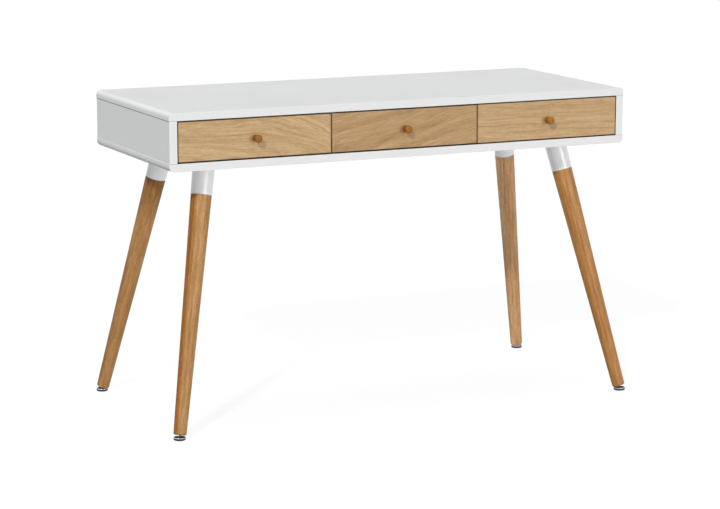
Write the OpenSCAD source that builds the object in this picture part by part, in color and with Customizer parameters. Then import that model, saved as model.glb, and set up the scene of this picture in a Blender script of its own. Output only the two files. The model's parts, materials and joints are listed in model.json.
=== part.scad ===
// Writing desk: a low casing with three drawers, on four splayed round legs.
// X runs along the desk, the drawers open towards -Y, and Z is up.
// The origin is on the floor, under the middle of the desk.

/* [Desk] */
// Length of the table top
desk_w = 1200; // [1000:10:1600]
// Depth of the table top
desk_d = 500; // [420:10:700]
// Height of the table top above the floor
desk_h = 762; // [680:1:820]

/* [Casing] */
// Height of the casing over its top and bottom boards
case_h = 137; // [125:1:200]
// Thickness of the top and bottom boards
board_t = 19; // [16:1:25]
// Thickness of the side panels
side_t = 19; // [16:1:25]
// Thickness of the dividers between the drawers
divider_t = 18; // [16:1:25]
// Thickness of the back panel
back_t = 16; // [12:1:22]
// How far the boards stand out past the side panels
overhang = 1; // [0.5:0.5:6]
// Radius of the round on the outer edge of each board end
end_r = 12; // [4:1:16]
// Radius of the small round on the inner edge of each board end
joint_r = 1; // [0.5:0.5:3]
// Distance of the dividers behind the drawer fronts
divider_set = 1; // [0.5:0.5:4]

/* [Drawer fronts] */
// Thickness of the drawer fronts
front_t = 18; // [15:1:22]
// Gap between the fronts and the casing
edge_gap = 3; // [1.5:0.5:4]
// Gap between two neighbouring fronts
mid_gap = 4; // [2:0.5:5]

/* [Drawer boxes] */
// Free height under a drawer box
box_lift = 12; // [8:1:16]
// Free height over a drawer box
box_head = 17; // [10:1:22]
// Free depth behind a drawer box
box_rear = 46; // [20:1:60]
// Thickness of the box sides
box_side_t = 12; // [11:1:16]
// Thickness of the box back
box_back_t = 12; // [11:1:16]
// Thickness of the box bottom
bottom_t = 5; // [3:1:6]
// Height of the box bottom above the lower edge of the sides
bottom_up = 10; // [7:1:12]
// Depth of the grooves that hold the box bottom
groove_d = 5; // [3:1:6]

/* [Knobs] */
// How far a knob stands out of its front
knob_l = 22; // [20:1:30]
// Diameter of the knob head
knob_head_d = 19; // [17:1:26]
// Diameter of the knob where it meets the front
knob_foot_d = 16; // [14:1:17]
// Diameter of the knob waist
knob_waist_d = 12.4; // [9:0.2:13]
// Length of the knob from the front to its head
knob_neck_l = 14; // [12:1:15]
// Radius of the round on the knob face
knob_round = 4; // [2:0.5:4.5]

/* [Drawer runners] */
// Width that a runner fills between the casing and the box
runner_w = 12.5; // [12:0.1:14]
// Height of the casing rail
rail_h = 35; // [30:1:40]
// Thickness of the runner's sheet steel
rail_t = 1.2; // [1:0.1:1.4]
// Distance of the rails behind the drawer front
rail_front = 3; // [2:1:8]
// Distance from the rear end of the rails to the rear of the box
rail_rear = 17; // [10:1:30]
// Diameter of the runner balls
ball_d = 3.6; // [3:0.1:4]
// Spacing of the balls along the cage
ball_pitch = 14; // [10:1:20]
// Running clearance of a ball in its races
race_gap = 0.3; // [0.3:0.05:0.5]
// Length of the ball cage
cage_l = 90; // [60:1:110]
// Thickness of the cage sheet
cage_t = 0.6; // [0.5:0.1:0.8]
// Running clearance of the cage
cage_gap = 0.45; // [0.4:0.05:0.6]

/* [Legs] */
// Distance from the board end to the leg axis, under the casing
leg_inset_x = 130; // [90:1:180]
// Distance from the board's long edge to the leg axis, under the casing
leg_inset_y = 114; // [70:1:150]
// Lean of the legs from the vertical, in degrees
splay = 16.3; // [5:0.1:20]
// Direction of the lean, measured from the long edge, in degrees
splay_turn = 47.9; // [30:0.1:60]
// Length of the collar along the leg axis
collar_l = 76; // [60:1:100]
// Diameter of the collar under the casing
collar_top_d = 53.4; // [53:0.2:64]
// Diameter of the collar at its lower rim
collar_end_d = 51.2; // [46:0.2:54]
// Wall of the collar round the tenon
collar_wall = 4.5; // [3:0.5:6]
// How far the collar rim stands out past the leg
rim_step = 0.6; // [0.2:0.1:2]
// Least thickness of the solid collar top
collar_web = 14; // [12:1:20]
// Diameter of the leg at the floor end
leg_end_d = 31.2; // [26:0.2:44]
// Radius of the round on the floor end of the leg
leg_end_r = 4; // [1:0.5:5]

/* [Levelling feet] */
// Diameter of the foot pad and of the steel ring round it
pad_d = 29; // [24:1:36]
// Height of the foot pad under the ring
pad_h = 3; // [2.5:0.5:4]
// Height of the steel ring
ring_h = 3.8; // [3.2:0.2:5]
// Wall of the steel ring
ring_t = 1.6; // [1.2:0.1:2]
// Depth of the pad's hollow below the rim of the ring
hollow_deep = 1.6; // [1:0.1:2]
// Diameter of the threaded stem
stem_d = 8; // [6:1:8]
// Thickness of the pad under the ball
pad_floor_t = 1; // [0.8:0.1:1.6]
// Diameter of the ball on which the pad swivels
swivel_d = 6; // [5:0.5:6]
// Length of the threaded sleeve in the leg
sleeve_l = 18; // [14:1:24]
// Outer diameter of the threaded sleeve
sleeve_d = 11.5; // [10:0.5:14]

/* [Fixings] */
// Diameter of the casing dowels
dowel_d = 8; // [6:1:8]
// Length of the casing dowels
dowel_l = 30; // [25:1:35]
// Depth of the casing dowels in the boards
dowel_in = 12; // [9:1:12]
// Distance from the back panel's ends to its outer dowels
back_dowel_end = 170; // [80:10:240]
// Diameter of the drawer box dowels
box_dowel_d = 6; // [4:1:6]
// Length of the drawer box dowels
box_dowel_l = 26; // [20:1:30]
// Depth of those dowels in the drawer front
box_dowel_in_front = 11; // [8:1:12]
// Depth of those dowels in the box sides, at the back
box_dowel_in_side = 8; // [6:1:9]
// Diameter of the cam housings
cam_d = 15; // [12:1:15]
// Depth of the cam housings
cam_depth = 13; // [11.5:0.5:14]
// Distance from a cam's middle to the edge of its panel
cam_edge = 20; // [18:1:22]
// Distance from a cam's middle to the drawer front or the back panel
cam_inset = 50; // [40:5:90]
// Diameter of the cam bolts
cam_bolt_d = 6; // [5:0.5:7]
// Depth of the cam bolts in the boards
cam_bolt_in = 11; // [8:1:12]
// Shank diameter of the wood screws
screw_d = 3; // [2.5:0.5:3.5]
// Head diameter of the wood screws
screw_head_d = 6; // [5:0.5:7]
// How far the rail screws go into the wood
rail_screw_in = 8; // [6:1:9]
// Distance from the ends of a rail to its outer screws
rail_screw_end = 30; // [20:5:60]
// Height of the casing rail screws over or under the middle of the rail
rail_screw_shift = 5; // [4:1:7]
// Distance from the box sides to the screws under the box back
bottom_screw_end = 70; // [30:5:120]
// Shank diameter of the knob and collar screws
pan_screw_d = 4; // [3:0.5:4.5]
// Head diameter of those screws
pan_head_d = 8; // [6:0.5:8]
// Head height of those screws
pan_head_h = 2.5; // [2:0.25:3]
// Diameter of the collar studs
stud_d = 8; // [6:1:8]
// Length of a stud in the leg
stud_in = 35; // [25:1:45]
// Diameter of the circle of collar screws
collar_screw_circle = 26; // [24:1:28]
// Depth of the collar screws in the bottom board
collar_screw_in = 12; // [9:1:12]

/* [Hidden] */
$fn = 64;

// Sides of the desk, used as signs
left = -1;
centre = 0;
right = 1;
front = -1;
back = 1;

// Colours
white = [0.93, 0.93, 0.92];
oak = [0.77, 0.64, 0.46];
leg_oak = [0.72, 0.53, 0.33];
box_white = [0.90, 0.89, 0.86];
zinc = [0.72, 0.73, 0.75];
black = [0.12, 0.12, 0.13];
beech = [0.85, 0.72, 0.55];

// Small clearances: a fixing in its hole, the tenon in its socket, a box bottom in its groove,
// a ball in its seat, and a stem in its sleeve
fit = 0.05;
tenon_fit = 0.15;
slot_gap = 0.3;
seat_gap = 0.1;
run_gap = 0.3;
// How far a cut runs past the face that it opens
over = 1;

// Casing levels and faces
case_z = desk_h - case_h;
floor_z = case_z + board_t;
ceil_z = desk_h - board_t;
open_h = ceil_z - floor_z;
side_x = desk_w / 2 - overhang;
inner_x = side_x - side_t;
front_y = -desk_d / 2;
behind_front = front_y + front_t;
back_y = desk_d / 2 - back_t;
divider_y = behind_front + divider_set;
end_round = min(end_r, board_t - joint_r);

// Drawer fronts
front_w = (2 * inner_x - 2 * edge_gap - 2 * mid_gap) / 3;
front_h = open_h - 2 * edge_gap;
front_pitch = front_w + mid_gap;
front_z = floor_z + open_h / 2;
divider_x = front_pitch / 2;

// Drawer boxes
box_z = floor_z + box_lift;
box_h = open_h - box_lift - box_head;
box_end = back_y - box_rear;
box_l = box_end - behind_front;
bottom_z = box_z + bottom_up;
back_rest_z = bottom_z + bottom_t;

// Runners
rail_l = box_l - rail_front - rail_rear;
rail_y = behind_front + rail_front + rail_l / 2;
rail_z = box_z + box_h / 2;
race_r = ball_d / 2 + race_gap;
ball_u = 2 * rail_t + cage_t + 2 * cage_gap + race_r;
ball_w = rail_h / 2 - rail_t - race_r;
hook_angle = asin((cage_t / 2 + cage_gap) / race_r);
balls_per_row = floor((cage_l - 2 * ball_d) / ball_pitch) + 1;
rail_screws_y = [for (n = [-1, 0, 1]) n * (rail_l / 2 - rail_screw_end)];

// Legs
leg_x = desk_w / 2 - leg_inset_x;
leg_y = desk_d / 2 - leg_inset_y;
socket_top = collar_top_d / 2 * tan(splay) + collar_web;
socket_d = collar_end_d - 2 * collar_wall;
tenon_d = socket_d - 2 * tenon_fit;
leg_top_d = collar_end_d - 2 * rim_step;
tenon_top = socket_top + pan_head_h + over;

// Levelling feet: the leg ends just clear of the rim of its foot
swivel_z = swivel_d / 2 + pad_floor_t;
rim_z = pad_h + ring_h;
rim_clear = run_gap + tan(splay) * pad_d / 2 + pow(tan(splay), 2) * swivel_z;
leg_end_z = (rim_z + rim_clear) * pow(cos(splay), 2);
leg_l = (case_z - leg_end_z) / cos(splay);
swivel_l = (case_z - swivel_z) / cos(splay);
foot_reach = (case_z - swivel_z) * tan(splay);

// ---- Casing ----

// Waste outside a quarter round, for a corner at the origin with its material below and left
module corner_waste(r) {
    difference() {
        translate([-r, -r]) square(r + over);
        translate([-r, -r]) circle(r);
    }
}

// Board with a large round on the upper edge of each end, standing on z = 0
module board() {
    rotate([90, 0, 0]) linear_extrude(desk_d, center = true) difference() {
        translate([-desk_w / 2, 0]) square([desk_w, board_t]);
        for (s = [0, 1]) mirror([s, 0]) {
            translate([desk_w / 2, board_t]) corner_waste(end_round);
            translate([desk_w / 2, 0]) mirror([0, 1]) corner_waste(joint_r);
        }
    }
}

// Middle planes of the four upright panels
upright_x = [-inner_x - side_t / 2, -divider_x, divider_x, inner_x + side_t / 2];
upright_t = [side_t, divider_t, divider_t, side_t];
cam_rows = [behind_front + cam_inset, back_y - cam_inset];

// Places at each end of the uprights, with z pointing into the board there
module at_upright_ends(k, y) {
    translate([upright_x[k], y, ceil_z]) children();
    translate([upright_x[k], y, floor_z]) mirror([0, 0, 1]) children();
}

module upright_dowels(k, grow) {
    at_upright_ends(k, 0) translate([0, 0, dowel_in - dowel_l - grow])
        cylinder(d = dowel_d + 2 * grow, h = dowel_l + 2 * grow);
}

module back_dowels(grow) {
    for (n = [-1, 0, 1], s = [0, 1])
        translate([n * (inner_x - back_dowel_end), back_y + back_t / 2, s ? ceil_z : floor_z])
            mirror([0, 0, 1 - s]) translate([0, 0, dowel_in - dowel_l - grow])
                cylinder(d = dowel_d + 2 * grow, h = dowel_l + 2 * grow);
}

module casing_dowels() {
    color(beech) {
        for (k = [0:3]) upright_dowels(k, 0);
        back_dowels(0);
    }
}

// Bolts that run from the boards into the cams of upright k
module cam_bolts(k, grow) {
    for (y = cam_rows) at_upright_ends(k, y) translate([0, 0, -cam_edge])
        cylinder(d = cam_bolt_d + 2 * grow, h = cam_edge + cam_bolt_in + grow);
}

// Cam housings, let into the face of upright k that looks to the middle of the desk
module cam_housings(k, grow, past_face) {
    inward = upright_x[k] < 0 ? 1 : -1;
    for (y = cam_rows) at_upright_ends(k, y)
        translate([inward * upright_t[k] / 2, 0, -cam_edge]) rotate([0, -90 * inward, 0])
            translate([0, 0, -past_face])
                cylinder(d = cam_d + 2 * grow, h = cam_depth + past_face + grow);
}

module casing_cam_fittings() {
    color(zinc) for (k = [0:3]) {
        cam_bolts(k, 0);
        difference() {
            cam_housings(k, 0, 0);
            cam_bolts(k, fit);
        }
    }
}

module top_panel() {
    color(white) difference() {
        translate([0, 0, ceil_z]) board();
        for (k = [0:3]) {
            upright_dowels(k, fit);
            cam_bolts(k, fit);
        }
        back_dowels(fit);
    }
}

module bottom_panel() {
    color(white) difference() {
        translate([0, 0, floor_z]) mirror([0, 0, 1]) board();
        for (k = [0:3]) {
            upright_dowels(k, fit);
            cam_bolts(k, fit);
        }
        back_dowels(fit);
        each_leg() collar_screws_at(fit);
    }
}

// Upright panel k from y0 to y1, drilled for its fixings and for the rails on it
module upright(k, y0, y1) {
    color(white) difference() {
        translate([upright_x[k] - upright_t[k] / 2, y0, floor_z]) cube([upright_t[k], y1 - y0, open_h]);
        upright_dowels(k, fit);
        cam_bolts(k, fit);
        cam_housings(k, fit, over);
        if (k < 3) casing_rail_screws(k - 1, left, fit, 0);
        if (k > 0) casing_rail_screws(k - 2, right, fit, 0);
    }
}

module back_panel() {
    color(white) difference() {
        translate([-inner_x, back_y, floor_z]) cube([2 * inner_x, back_t, open_h]);
        back_dowels(fit);
    }
}

// ---- Drawers: i is left, centre or right ----

function bay_lo(i) = i == left ? -inner_x : (i == centre ? -divider_x : divider_x) + divider_t / 2;
function bay_hi(i) = i == right ? inner_x : (i == centre ? divider_x : -divider_x) - divider_t / 2;
function box_lo(i) = bay_lo(i) + runner_w;
function box_hi(i) = bay_hi(i) - runner_w;

// Inner face of the box side s of drawer i
function box_wall(i, s) = s == left ? box_lo(i) + box_side_t : box_hi(i) - box_side_t;

// Dowels from the box sides into the front, and from the box sides into the back
module box_dowels(i, grow) {
    from_edge = 10;
    for (z = [back_rest_z + from_edge, box_z + box_h - from_edge], s = [left, right]) {
        translate([box_wall(i, s) + s * box_side_t / 2, behind_front - box_dowel_in_front - grow, z])
            rotate([-90, 0, 0]) cylinder(d = box_dowel_d + 2 * grow, h = box_dowel_l + 2 * grow);
        translate([box_wall(i, s) + s * (box_dowel_in_side + grow), box_end - box_back_t / 2, z])
            rotate([0, -90 * s, 0]) cylinder(d = box_dowel_d + 2 * grow, h = box_dowel_l + 2 * grow);
    }
}

module drawer_dowels(i) {
    color(beech) box_dowels(i, 0);
}

// Countersunk wood screw along +z, its head flush with z = 0
module wood_screw(l, grow, past_face) {
    head_h = (screw_head_d - screw_d) / 2;
    cylinder(d = screw_d + 2 * grow, h = l + grow);
    cylinder(d1 = screw_head_d + 2 * grow, d2 = screw_d + 2 * grow, h = head_h);
    if (past_face > 0) translate([0, 0, -past_face]) cylinder(d = screw_head_d + 2 * grow, h = past_face);
}

// Pan-headed machine screw along +z, the underside of its head on z = 0
module pan_screw(l, grow) {
    cylinder(d = pan_screw_d + 2 * grow, h = l + grow);
    translate([0, 0, -pan_head_h]) cylinder(d1 = pan_head_d - pan_head_h, d2 = pan_head_d, h = pan_head_h);
}

// Screw that holds the knob, its head behind the front
module knob_screw(i, grow) {
    in_knob = 12;
    translate([i * front_pitch, behind_front, front_z]) rotate([90, 0, 0])
        pan_screw(front_t + in_knob, grow);
}

// Screws up through the box bottom into the lower edge of the back
module bottom_screws(i, grow, past_face) {
    in_back = 14;
    for (s = [left, right])
        translate([box_wall(i, s) - s * bottom_screw_end, box_end - box_back_t / 2, bottom_z])
            wood_screw(bottom_t + in_back, grow, past_face);
}

module drawer_screws(i) {
    color(zinc) {
        knob_screw(i, 0);
        bottom_screws(i, 0, 0);
        for (s = [left, right]) drawer_rail_screws(i, s, 0, 0);
    }
}

module drawer_front(i) {
    color(oak) difference() {
        translate([i * front_pitch - front_w / 2, front_y, floor_z + edge_gap])
            cube([front_w, front_t, front_h]);
        box_dowels(i, fit);
        knob_screw(i, fit);
        bottom_board(i, slot_gap);
    }
}

// Box bottom, held in the grooves of the sides and the front; grow widens it to cut the grooves
module bottom_board(i, grow) {
    reach = groove_d - slot_gap + grow;
    x0 = box_wall(i, left) - reach;
    x1 = box_wall(i, right) + reach;
    y0 = behind_front - reach;
    translate([x0, y0, bottom_z]) cube([x1 - x0, box_end - y0, bottom_t + grow]);
}

module drawer_bottom(i) {
    color(box_white) difference() {
        bottom_board(i, 0);
        bottom_screws(i, fit, over);
    }
}

// Box side s of drawer i, grooved to its rear end
module drawer_side(i, s) {
    color(box_white) difference() {
        translate([s == left ? box_lo(i) : box_wall(i, s), behind_front, box_z])
            cube([box_side_t, box_l, box_h]);
        for (y = [0, over]) translate([0, y, 0]) bottom_board(i, slot_gap);
        box_dowels(i, fit);
        drawer_rail_screws(i, s, fit, 0);
    }
}

module drawer_back(i) {
    color(box_white) difference() {
        translate([box_wall(i, left), box_end - box_back_t, back_rest_z])
            cube([box_wall(i, right) - box_wall(i, left), box_back_t, box_z + box_h - back_rest_z]);
        box_dowels(i, fit);
        bottom_screws(i, fit, 0);
    }
}

// Turned knob: a foot that curves in to a waist and out again under a rounded head
module drawer_knob(i) {
    foot_r = knob_foot_d / 2;
    waist_r = knob_waist_d / 2;
    head_r = knob_head_d / 2;
    under_r = 2;
    half_neck = knob_neck_l / 2;
    curve_r = (pow(half_neck, 2) + pow(foot_r - waist_r, 2)) / (2 * (foot_r - waist_r));
    color(leg_oak) difference() {
        translate([i * front_pitch, front_y, front_z]) rotate([90, 0, 0]) rotate_extrude() {
            difference() {
                square([foot_r, knob_neck_l + over]);
                translate([waist_r + curve_r, half_neck]) circle(curve_r);
            }
            translate([0, knob_neck_l]) square([head_r - under_r, under_r + over]);
            translate([0, knob_neck_l + under_r])
                square([head_r, knob_l - knob_neck_l - under_r - knob_round]);
            translate([head_r - under_r, knob_neck_l + under_r]) circle(under_r);
            translate([0, knob_l - knob_round - over]) square([head_r - knob_round, knob_round + over]);
            translate([head_r - knob_round, knob_l - knob_round]) circle(knob_round);
        }
        knob_screw(i, fit);
    }
}

// ---- Runners ----

// Places a runner of drawer i on wall s: x = 0 on the casing, z = 0 at half height, y = 0 at half length
module at_runner(i, s) {
    translate([s == left ? bay_lo(i) : bay_hi(i), rail_y, rail_z])
        mirror([s == left ? 0 : 1, 0, 0])
            children();
}

module along_runner(l) {
    rotate([90, 0, 0]) linear_extrude(l, center = true) children();
}

// Part of the rolled race round a ball, between two angles less than 180 degrees apart
module race_hook(a0, a1) {
    reach = 3 * race_r;
    mid = (a0 + a1) / 2;
    intersection() {
        difference() {
            circle(race_r + rail_t);
            circle(race_r);
        }
        polygon([[0, 0], reach * [cos(a0), sin(a0)], 1.5 * reach * [cos(mid), sin(mid)],
                 reach * [cos(a1), sin(a1)]]);
    }
}

// Casing member: a C of sheet steel with an upper and a lower race curled over the balls
module casing_rail_outline() {
    translate([0, -rail_h / 2]) square([rail_t, rail_h]);
    for (s = [0, 1]) mirror([0, s]) {
        translate([0, rail_h / 2 - rail_t]) square([ball_u, rail_t]);
        translate([ball_u, ball_w]) race_hook(hook_angle, 90);
    }
}

// Drawer member: a narrower C, its races curled under the balls
module drawer_rail_outline() {
    edge = ball_w - race_r;
    translate([runner_w - rail_t, -edge]) square([rail_t, 2 * edge]);
    for (s = [0, 1]) mirror([0, s]) {
        translate([ball_u, edge - rail_t]) square([runner_w - ball_u, rail_t]);
        translate([ball_u, ball_w]) race_hook(180 + hook_angle, 270);
    }
}

// Ball cage: a U of thin sheet that carries the upper and the lower row of balls
module cage_outline() {
    u0 = rail_t + cage_gap;
    past_ball = 0.8;
    for (s = [0, 1]) mirror([0, s])
        translate([u0, ball_w - cage_t / 2]) square([ball_u + ball_d / 2 + past_ball - u0, cage_t]);
    translate([u0, -ball_w - cage_t / 2]) square([cage_t, 2 * ball_w + cage_t]);
}

module each_ball() {
    for (n = [0:balls_per_row - 1], s = [-1, 1])
        translate([ball_u, (n - (balls_per_row - 1) / 2) * ball_pitch, s * ball_w]) children();
}

// Screws of the casing rail on wall s of drawer i; the two sides of a divider take theirs apart
module casing_rail_screws(i, s, grow, past_face) {
    for (y = rail_screws_y)
        at_runner(i, s) translate([rail_t, y, s * rail_screw_shift]) rotate([0, -90, 0])
            wood_screw(rail_t + rail_screw_in, grow, past_face);
}

// Screws of the drawer rail on side s of drawer i
module drawer_rail_screws(i, s, grow, past_face) {
    for (y = rail_screws_y)
        at_runner(i, s) translate([runner_w - rail_t, y, 0]) rotate([0, 90, 0])
            wood_screw(rail_t + rail_screw_in, grow, past_face);
}

module rail_screws() {
    color(zinc) for (i = [left, centre, right], s = [left, right]) casing_rail_screws(i, s, 0, 0);
}

// Casing rails, each with a tab bent up near either end to stop the cage
module casing_rails() {
    tab_w = 16;
    tab_in = 2;
    color(zinc) for (i = [left, centre, right], s = [left, right]) difference() {
        at_runner(i, s) {
            along_runner(rail_l) casing_rail_outline();
            for (e = [-1, 1])
                translate([rail_t, e * (rail_l / 2 - tab_in) - rail_t / 2, -tab_w / 2])
                    cube([cage_gap + cage_t, rail_t, tab_w]);
        }
        casing_rail_screws(i, s, fit, over);
    }
}

module drawer_rails(i) {
    color(zinc) for (s = [left, right]) difference() {
        at_runner(i, s) along_runner(rail_l) drawer_rail_outline();
        drawer_rail_screws(i, s, fit, over);
    }
}

module ball_cages(i) {
    color(zinc) for (s = [left, right]) at_runner(i, s) {
        difference() {
            along_runner(cage_l) cage_outline();
            each_ball() cylinder(d = ball_d + 2 * seat_gap, h = 4 * cage_t, center = true);
        }
        each_ball() sphere(d = ball_d);
    }
}

// ---- Legs: sx is left or right, sy is front or back ----

// Places children on the leg axis: z = 0 under the casing, +z down the leg
module at_leg(sx, sy) {
    translate([sx * leg_x, sy * leg_y, case_z])
        rotate([0, 0, atan2(sy * sin(splay_turn), sx * cos(splay_turn))])
            rotate([0, 180 - splay, 0])
                children();
}

module each_leg() {
    for (sx = [left, right], sy = [front, back]) at_leg(sx, sy) children();
}

// Three screws up through the solid top of a collar into the bottom board
module collar_screws_at(grow) {
    for (a = [60, 180, 300]) rotate([0, 0, a]) translate([collar_screw_circle / 2, 0, socket_top])
        mirror([0, 0, 1]) pan_screw(socket_top + collar_screw_in, grow);
}

module collar_screws() {
    color(zinc) each_leg() collar_screws_at(0);
}

// Hanger bolt: one end in the collar top, the other in the leg
module stud_at(grow) {
    in_collar = 12;
    translate([0, 0, socket_top - in_collar - grow])
        cylinder(d = stud_d + 2 * grow, h = in_collar + (tenon_top - socket_top) + stud_in + 2 * grow);
}

module leg_studs() {
    color(zinc) each_leg() stud_at(0);
}

// Cast collar: a tapered sleeve cut off at the slant of the board, with a socket for the leg
module collar(sx, sy) {
    rim = 0.8;
    rise = collar_top_d / 2 * tan(splay) + over;
    flare = (collar_top_d - collar_end_d) / 2 / collar_l;
    color(white) difference() {
        at_leg(sx, sy) difference() {
            rotate_extrude() polygon([
                [0, -rise], [collar_top_d / 2 + flare * rise, -rise],
                [collar_end_d / 2, collar_l - rim], [collar_end_d / 2 - rim / 2, collar_l],
                [socket_d / 2, collar_l], [socket_d / 2, socket_top], [0, socket_top]
            ]);
            stud_at(fit);
            collar_screws_at(fit);
        }
        translate([sx * leg_x, sy * leg_y, case_z + collar_top_d]) cube(2 * collar_top_d, center = true);
    }
}

// Turned leg: a tenon in the collar, a shoulder under its rim, and a straight taper to a rounded end
module leg(sx, sy) {
    end = leg_end_d / 2;
    chamfer = 1;
    stem_room = 8;
    color(leg_oak) at_leg(sx, sy) difference() {
        rotate_extrude() {
            polygon([
                [0, tenon_top], [tenon_d / 2 - chamfer, tenon_top], [tenon_d / 2, tenon_top + chamfer],
                [tenon_d / 2, collar_l], [leg_top_d / 2, collar_l], [end, leg_l - leg_end_r],
                [end - leg_end_r, leg_l - leg_end_r], [end - leg_end_r, leg_l], [0, leg_l]
            ]);
            translate([end - leg_end_r, leg_l - leg_end_r]) circle(leg_end_r);
        }
        stud_at(fit);
        translate([0, 0, leg_l - sleeve_l]) cylinder(d = sleeve_d + 2 * fit, h = sleeve_l + over);
        translate([0, 0, leg_l - sleeve_l - stem_room]) cylinder(d = stem_d, h = sleeve_l + stem_room);
    }
}

module foot_sleeves() {
    color(zinc) each_leg() translate([0, 0, leg_l - sleeve_l]) difference() {
        cylinder(d = sleeve_d, h = sleeve_l);
        translate([0, 0, -over]) cylinder(d = stem_d, h = sleeve_l + 2 * over);
    }
}

// Places children on the floor under the swivel ball of a foot
module at_foot(sx, sy) {
    translate([sx * (leg_x + foot_reach * cos(splay_turn)), sy * (leg_y + foot_reach * sin(splay_turn)), 0])
        children();
}

// Threaded stem with its swivel ball, and the steel ring pressed round the pad
module foot_stem(sx, sy) {
    above_sleeve = 4;
    neck_d = 4;
    rim_r = 0.7;
    r = pad_d / 2;
    color(zinc) {
        at_leg(sx, sy) {
            translate([0, 0, leg_l - sleeve_l - above_sleeve])
                cylinder(d = stem_d - 2 * run_gap, h = sleeve_l + above_sleeve);
            translate([0, 0, leg_l - over]) cylinder(d = neck_d, h = swivel_l - leg_l + over);
            translate([0, 0, swivel_l]) sphere(d = swivel_d);
        }
        at_foot(sx, sy) translate([0, 0, pad_h]) rotate_extrude() {
            translate([r - ring_t, 0]) square([ring_t, ring_h - rim_r]);
            translate([r - ring_t + rim_r, 0]) square([ring_t - 2 * rim_r, ring_h]);
            for (x = [r - ring_t + rim_r, r - rim_r]) translate([x, ring_h - rim_r]) circle(rim_r);
        }
    }
}

// Moulded pad: a base rounded to the floor, and a hollowed core inside the ring, with a seat for the ball
module foot_pad(sx, sy) {
    low_r = 2.6;
    r = pad_d / 2;
    core_r = r - ring_t - fit;
    color(black) at_foot(sx, sy) difference() {
        rotate_extrude() {
            difference() {
                square([r, pad_h]);
                translate([r, 0]) mirror([0, 1]) corner_waste(low_r);
            }
            square([core_r, rim_z - hollow_deep]);
        }
        translate([0, 0, swivel_z]) sphere(d = swivel_d + 2 * seat_gap);
    }
}

top_panel();
bottom_panel();
upright(0, -desk_d / 2, desk_d / 2);  // left_side_panel
upright(3, -desk_d / 2, desk_d / 2);  // right_side_panel
back_panel();
upright(1, divider_y, back_y);  // left_divider
upright(2, divider_y, back_y);  // right_divider
casing_dowels();
casing_cam_fittings();
drawer_front(left);  // left_drawer_front
drawer_side(left, left);  // left_drawer_left_side
drawer_side(left, right);  // left_drawer_right_side
drawer_back(left);  // left_drawer_back
drawer_bottom(left);  // left_drawer_bottom
drawer_knob(left);  // left_drawer_knob
drawer_dowels(left);  // left_drawer_dowels
drawer_screws(left);  // left_drawer_screws
drawer_front(centre);  // centre_drawer_front
drawer_side(centre, left);  // centre_drawer_left_side
drawer_side(centre, right);  // centre_drawer_right_side
drawer_back(centre);  // centre_drawer_back
drawer_bottom(centre);  // centre_drawer_bottom
drawer_knob(centre);  // centre_drawer_knob
drawer_dowels(centre);  // centre_drawer_dowels
drawer_screws(centre);  // centre_drawer_screws
drawer_front(right);  // right_drawer_front
drawer_side(right, left);  // right_drawer_left_side
drawer_side(right, right);  // right_drawer_right_side
drawer_back(right);  // right_drawer_back
drawer_bottom(right);  // right_drawer_bottom
drawer_knob(right);  // right_drawer_knob
drawer_dowels(right);  // right_drawer_dowels
drawer_screws(right);  // right_drawer_screws
casing_rails();
ball_cages(left);  // left_ball_cages
ball_cages(centre);  // centre_ball_cages
ball_cages(right);  // right_ball_cages
drawer_rails(left);  // left_drawer_rails
drawer_rails(centre);  // centre_drawer_rails
drawer_rails(right);  // right_drawer_rails
rail_screws();
collar_screws();
leg_studs();
foot_sleeves();
collar(left, front);  // front_left_collar
collar(right, front);  // front_right_collar
collar(left, back);  // back_left_collar
collar(right, back);  // back_right_collar
leg(left, front);  // front_left_leg
leg(right, front);  // front_right_leg
leg(left, back);  // back_left_leg
leg(right, back);  // back_right_leg
foot_stem(left, front);  // front_left_foot_stem
foot_stem(right, front);  // front_right_foot_stem
foot_stem(left, back);  // back_left_foot_stem
foot_stem(right, back);  // back_right_foot_stem
foot_pad(left, front);  // front_left_foot_pad
foot_pad(right, front);  // front_right_foot_pad
foot_pad(left, back);  // back_left_foot_pad
foot_pad(right, back);  // back_right_foot_pad
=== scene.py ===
import json
import math

import bpy
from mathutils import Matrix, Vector


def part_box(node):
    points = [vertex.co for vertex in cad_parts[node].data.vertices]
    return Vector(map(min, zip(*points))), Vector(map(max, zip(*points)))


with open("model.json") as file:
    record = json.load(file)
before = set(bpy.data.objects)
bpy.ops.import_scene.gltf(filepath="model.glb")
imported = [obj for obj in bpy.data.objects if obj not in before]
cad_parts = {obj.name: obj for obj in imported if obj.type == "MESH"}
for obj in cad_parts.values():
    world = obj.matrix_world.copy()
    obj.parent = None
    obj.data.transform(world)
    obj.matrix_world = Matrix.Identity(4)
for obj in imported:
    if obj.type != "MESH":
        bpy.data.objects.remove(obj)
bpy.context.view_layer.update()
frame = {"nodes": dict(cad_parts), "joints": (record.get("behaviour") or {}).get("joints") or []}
nodes = frame["nodes"]


# ---- Where the desk stands ----
# A pale floor without edges, under a plain white surround, seen by a camera on a stand some six
# metres off, towards the desk's left front corner and a little above the height of its top.

def put(tree, kind, inputs=None, **settings):
    """Adds a shader node; an input is a value or another node's output."""
    node = tree.nodes.new("ShaderNode" + kind)
    for name, value in settings.items():
        setattr(node, name, value)
    for name, value in (inputs or {}).items():
        if isinstance(value, bpy.types.NodeSocket):
            tree.links.new(value, node.inputs[name])
        else:
            node.inputs[name].default_value = value
    return node


def math_node(tree, operation, a, b=0.0, c=0.0):
    """One step of arithmetic on up to three numbers; a COMPARE takes the third as its reach."""
    return put(tree, "Math", {0: a, 1: b, 2: c}, operation=operation).outputs[0]


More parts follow.
